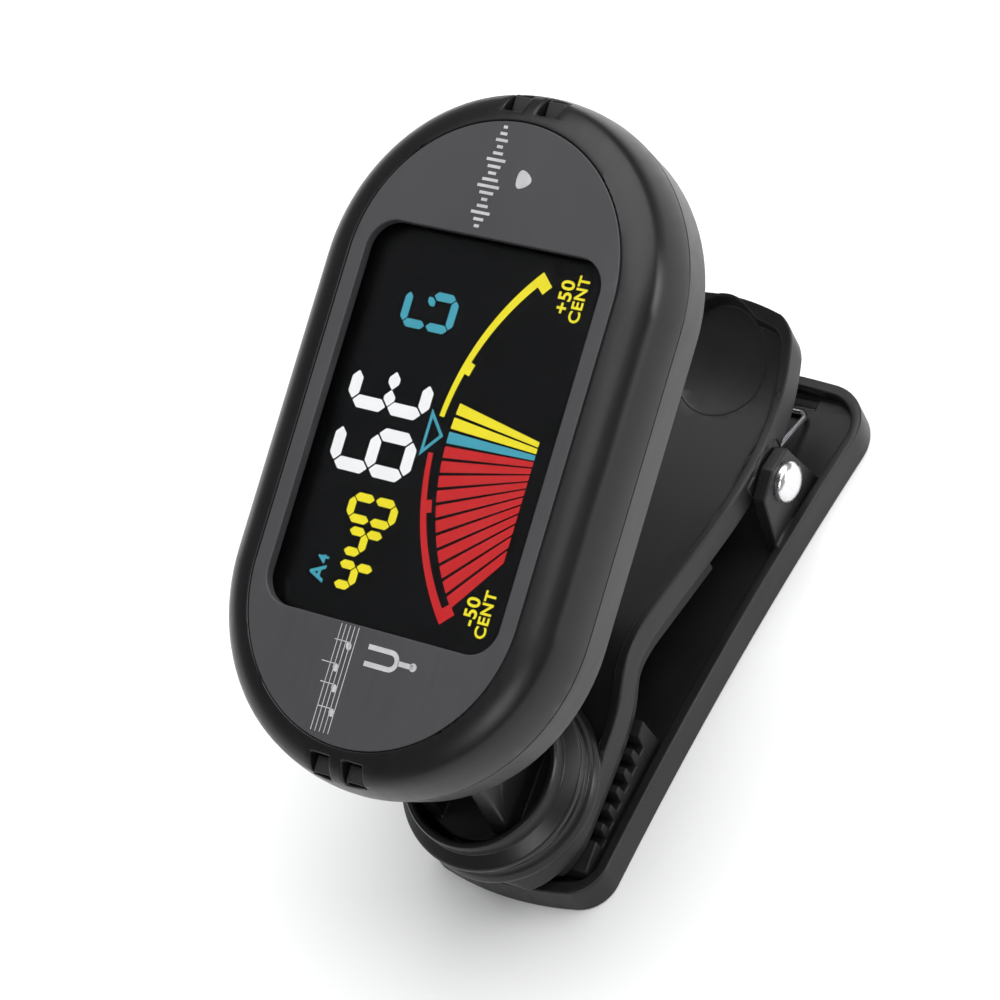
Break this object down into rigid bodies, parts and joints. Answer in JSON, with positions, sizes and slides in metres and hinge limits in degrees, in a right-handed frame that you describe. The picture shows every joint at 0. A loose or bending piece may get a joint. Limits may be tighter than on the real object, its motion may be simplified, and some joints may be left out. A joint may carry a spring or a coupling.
{
  "type": "clip-on instrument tuner",
  "caption": "Clip-on tuner: oval head with a rectangular colour display, on a fork that tilts and swivels in a ribbed cup over a sprung clip of two levers.",
  "frame": {"origin": "middle of the flat back of the clip's back lever, clip shut", "axes": "+Z out of the flat back towards the head, +X from the jaw to the finger end of the clip, +Y across"},
  "size_m": [0.0643, 0.0344, 0.0547],
  "materials": {
    "lever_plastic": "fine satin, dark grey",
    "collar_plastic": "semi-gloss, dark grey",
    "pin_plating": "bright nickel plate",
    "spring_steel": "drawn wire",
    "screw_steel": "zinc plated",
    "jaw_rubber": "soft grey, matte",
    "washer_nylon": "natural nylon",
    "case_plastic": "semi-gloss, near black",
    "plate_paint": "satin grey",
    "lens_glass": "clear, polished",
    "frame_white": "white, matte",
    "lcd_glass": "black, polished",
    "light_guide": "clear acrylic, frosted back",
    "strip_rubber": "silicone",
    "board_laminate": "green solder mask",
    "chip_plastic": "black epoxy",
    "cell_steel": "satin steel",
    "contact_nickel": "nickel plated spring strip",
    "sensor_brass": "bare brass",
    "key_rubber": "black, matte"
  },
  "bodies": {
    "back_lever": {"back_lever": "lever_plastic", "hinge_pin": "pin_plating", "torsion_spring": "spring_steel", "jaw_pad": "jaw_rubber"},
    "front_lever": {"front_lever": "lever_plastic", "jaw_liner": "jaw_rubber", "swivel_collar": "collar_plastic", "friction_washer": "washer_nylon"},
    "fork": {"swivel_fork": "collar_plastic", "swivel_screw": "screw_steel", "tilt_pin": "screw_steel"},
    "head": {"front_case": "case_plastic", "face_plate": "plate_paint", "display_lens": "lens_glass", "display_frame": "frame_white", "lcd_panel": "lcd_glass", "backlight": "light_guide", "contact_strip": "strip_rubber", "circuit_board": "board_laminate", "tuner_chip": "chip_plastic", "crystal": "cell_steel", "rear_case": "case_plastic", "coin_cell": "cell_steel", "negative_contact": "contact_nickel", "positive_contact": "contact_nickel", "piezo_sensor": "sensor_brass", "case_screws": "screw_steel"},
    "battery_cover": {"battery_cover": "case_plastic"},
    "power_key": {"power_key": "key_rubber"},
    "mode_key": {"mode_key": "key_rubber"},
    "pitch_down_key": {"pitch_down_key": "key_rubber"},
    "pitch_up_key": {"pitch_up_key": "key_rubber"}
  },
  "joints": [
    {"name": "clip_hinge", "type": "hinge", "parent": "back_lever", "child": "front_lever", "pos_m": [0.0151, 0, 0.0072], "axis": [0, 1, 0], "range_deg": [0, 28], "stiffness_Nm_per_rad": 0.12, "springref_deg": -25.78, "deforming": ["torsion_spring"]},
    {"name": "swivel", "type": "hinge", "parent": "front_lever", "child": "fork", "pos_m": [-0.0233, 0, 0.0144], "axis": [-0.2698, 0, 0.9629], "continuous": true},
    {"name": "tilt", "type": "hinge", "parent": "fork", "child": "head", "pos_m": [-0.02473, 0, 0.0195], "axis": [0, -1, 0], "range_deg": [-20, 70]},
    {"name": "battery_cover_slide", "type": "slide", "parent": "head", "child": "battery_cover", "axis": [0.9242, 0, 0.3819], "range_m": [0, 0.005]},
    {"name": "power_key_press", "type": "slide", "parent": "head", "child": "power_key", "axis": [0.3819, 0, -0.9242], "range_m": [0, 0.0004], "stiffness_N_per_m": 400, "springref_m": -0.0006},
    {"name": "mode_key_press", "type": "slide", "parent": "head", "child": "mode_key", "axis": [0.3819, 0, -0.9242], "range_m": [0, 0.0004], "stiffness_N_per_m": 400, "springref_m": -0.0006},
    {"name": "pitch_down_key_press", "type": "slide", "parent": "head", "child": "pitch_down_key", "axis": [0.3819, 0, -0.9242], "range_m": [0, 0.0004], "stiffness_N_per_m": 400, "springref_m": -0.0006},
    {"name": "pitch_up_key_press", "type": "slide", "parent": "head", "child": "pitch_up_key", "axis": [0.3819, 0, -0.9242], "range_m": [0, 0.0004], "stiffness_N_per_m": 400, "springref_m": -0.0006}
  ]
}
